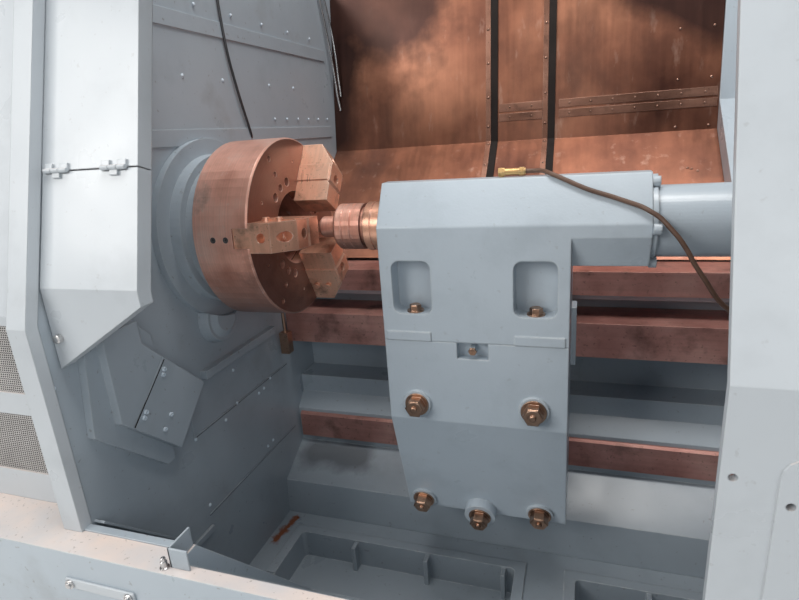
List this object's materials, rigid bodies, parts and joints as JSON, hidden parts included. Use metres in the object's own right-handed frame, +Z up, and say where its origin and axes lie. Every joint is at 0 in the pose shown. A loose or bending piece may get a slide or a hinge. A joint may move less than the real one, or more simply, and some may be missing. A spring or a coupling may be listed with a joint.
{
  "type": "cnc turning lathe",
  "caption": "Slant-bed CNC turning lathe with a large jaw chuck, tailstock and turret carriage, telescopic way covers and a sliding front door in a pale blue-grey enclosure.",
  "frame": {"origin": "centre of the footprint at floor level, under the middle of the machine's length and depth", "axes": "+X along the spindle from the headstock to the tailstock, +Y from the front door to the back, +Z up"},
  "size_m": [4.2, 2.3, 2.28],
  "materials": {
    "machine_paint": "glossy pale blue-grey machine enamel",
    "warm_bare_steel": "bare machined steel with a copper-brown film",
    "cover_steel": "brown bare cover sheet, lightly brushed",
    "bright_steel": "ground steel",
    "dark_steel": "dark blackened steel",
    "brass": "dull brass",
    "brown_hose": "brown hydraulic hose cover",
    "black_rubber": "black belt rubber",
    "black_plastic": "black moulded plastic",
    "red_plastic": "red moulded plastic",
    "green_plastic": "green moulded plastic",
    "safety_glass": "clear laminated safety glass"
  },
  "bodies": {
    "frame": {"machine_base": "machine_paint", "slant_bed": "machine_paint", "tailstock_way_lower": "warm_bare_steel", "tailstock_way_upper": "warm_bare_steel", "carriage_way_front": "warm_bare_steel", "carriage_way_rear": "warm_bare_steel", "headstock": "machine_paint", "front_spindle_bearing": "bright_steel", "rear_spindle_bearing": "bright_steel", "spindle_motor": "machine_paint", "drive_belt": "black_rubber", "spindle_flange_ring": "machine_paint", "guard_wall": "machine_paint", "wall_port_boss": "machine_paint", "setter_arm_cover": "machine_paint", "setter_arm_plate": "machine_paint", "coolant_valve": "brass", "left_pillar": "machine_paint", "headstock_panel": "machine_paint", "door_header": "machine_paint", "right_front_panel": "machine_paint", "headstock_cover": "machine_paint", "tail_end_cover": "machine_paint", "rear_casing": "machine_paint", "chuck_guard_frame": "machine_paint", "way_cover_left": "cover_steel", "electrical_cabinet": "machine_paint", "coolant_tank": "machine_paint", "coolant_pump": "dark_steel"},
    "spindle": {"spindle": "bright_steel", "spindle_pulley": "dark_steel", "chuck_actuator": "bright_steel", "chuck_body": "warm_bare_steel"},
    "jaw_1": {"chuck_jaw_1": "warm_bare_steel"},
    "jaw_2": {"chuck_jaw_2": "warm_bare_steel"},
    "jaw_3": {"chuck_jaw_3": "warm_bare_steel"},
    "motor_pulley": {"motor_pulley": "dark_steel"},
    "guard_flap": {"chuck_guard_flap": "machine_paint"},
    "latch_knob": {"flap_latch_knob": "bright_steel"},
    "door": {"sliding_door": "machine_paint", "door_window": "safety_glass", "door_handle": "bright_steel"},
    "carriage": {"carriage_saddle": "machine_paint", "way_cover_right": "cover_steel"},
    "middle_cover": {"way_cover_middle": "cover_steel"},
    "cross_slide": {"cross_slide": "machine_paint"},
    "turret": {"turret_disc": "bright_steel"},
    "tailstock": {"tailstock_base": "machine_paint", "tailstock_head": "machine_paint", "tailstock_cylinder": "machine_paint", "tailstock_hose": "brown_hose", "hose_fitting": "brass"},
    "quill": {"tailstock_quill": "bright_steel"},
    "live_centre": {"live_centre": "warm_bare_steel"},
    "pendant": {"control_pendant": "machine_paint"},
    "emergency_stop": {"emergency_stop": "red_plastic"},
    "cycle_start": {"cycle_start_button": "green_plastic"},
    "override_dial": {"feed_override_dial": "black_plastic"},
    "hand_wheel": {"hand_wheel": "black_plastic"},
    "cabinet_door": {"cabinet_door": "machine_paint"}
  },
  "joints": [
    {"name": "spindle_spin", "type": "hinge", "parent": "frame", "child": "spindle", "pos_m": [-0.35, -0.35, 1.38], "axis": [1, 0, 0], "continuous": true},
    {"name": "motor_pulley_spin", "type": "hinge", "parent": "frame", "child": "motor_pulley", "pos_m": [-1.55, 0.27, 0.48], "axis": [1, 0, 0], "continuous": true},
    {"name": "jaw_1_slide", "type": "slide", "parent": "spindle", "child": "jaw_1", "axis": [0, -0.9982, 0.0593], "range_m": [0, 0.006]},
    {"name": "jaw_2_slide", "type": "slide", "parent": "spindle", "child": "jaw_2", "axis": [0, 0.4478, -0.8942], "range_m": [0, 0.006]},
    {"name": "jaw_3_slide", "type": "slide", "parent": "spindle", "child": "jaw_3", "axis": [0, 0.5505, 0.8348], "range_m": [0, 0.006]},
    {"name": "guard_flap_hinge", "type": "hinge", "parent": "frame", "child": "guard_flap", "pos_m": [-0.50616, -0.89296, 1.59693], "axis": [-1, 0, 0], "range_deg": [0, 100]},
    {"name": "latch_knob_turn", "type": "hinge", "parent": "guard_flap", "child": "latch_knob", "pos_m": [-0.6085, -0.96148, 1.253], "axis": [0, -1, 0], "range_deg": [0, 90]},
    {"name": "door_slide", "type": "slide", "parent": "frame", "child": "door", "axis": [-1, 0, 0], "range_m": [0, 0.97]},
    {"name": "carriage_slide", "type": "slide", "parent": "frame", "child": "carriage", "axis": [-1, 0, 0], "range_m": [-0.2, 0.75]},
    {"name": "middle_cover_slide", "type": "slide", "parent": "frame", "child": "middle_cover", "axis": [-1, 0, 0], "range_m": [-0.1, 0.375]},
    {"name": "cross_slide_travel", "type": "slide", "parent": "carriage", "child": "cross_slide", "axis": [0, -0.7408, -0.6717], "range_m": [0, 0.2]},
    {"name": "turret_index", "type": "hinge", "parent": "cross_slide", "child": "turret", "pos_m": [1.15, 0.05661, 1.74869], "axis": [1, 0, 0], "continuous": true},
    {"name": "tailstock_slide", "type": "slide", "parent": "frame", "child": "tailstock", "axis": [1, 0, 0], "range_m": [0, 0.75]},
    {"name": "quill_slide", "type": "slide", "parent": "tailstock", "child": "quill", "axis": [-1, 0, 0], "range_m": [0, 0.12]},
    {"name": "live_centre_spin", "type": "hinge", "parent": "quill", "child": "live_centre", "pos_m": [-0.2063, -0.35, 1.38], "axis": [1, 0, 0], "continuous": true},
    {"name": "pendant_swing", "type": "hinge", "parent": "frame", "child": "pendant", "pos_m": [2.035, -1.05, 1.4], "axis": [0, 0, 1], "range_deg": [0, 90]},
    {"name": "emergency_stop_press", "type": "slide", "parent": "pendant", "child": "emergency_stop", "axis": [0, 1, 0], "range_m": [0, 0.006], "stiffness_N_per_m": 1200, "springref_m": -0.002},
    {"name": "cycle_start_press", "type": "slide", "parent": "pendant", "child": "cycle_start", "axis": [0, 1, 0], "range_m": [0, 0.004], "stiffness_N_per_m": 600, "springref_m": -0.002},
    {"name": "feed_override_turn", "type": "hinge", "parent": "pendant", "child": "override_dial", "pos_m": [1.947, -1.12, 1.455], "axis": [0, -1, 0], "range_deg": [0, 270]},
    {"name": "hand_wheel_turn", "type": "hinge", "parent": "pendant", "child": "hand_wheel", "pos_m": [1.8425, -1.12, 1.535], "axis": [0, -1, 0], "continuous": true},
    {"name": "cabinet_door_hinge", "type": "hinge", "parent": "frame", "child": "cabinet_door", "pos_m": [-1.92, 1.15, 0.11], "axis": [0, 0, 1], "range_deg": [0, 110]}
  ],
  "couplings": [
    {"joint": "motor_pulley_spin", "follows": "spindle_spin", "ratio": 2},
    {"joint": "jaw_2_slide", "follows": "jaw_1_slide", "ratio": 1},
    {"joint": "jaw_3_slide", "follows": "jaw_1_slide", "ratio": 1},
    {"joint": "middle_cover_slide", "follows": "carriage_slide", "ratio": 0.5}
  ]
}
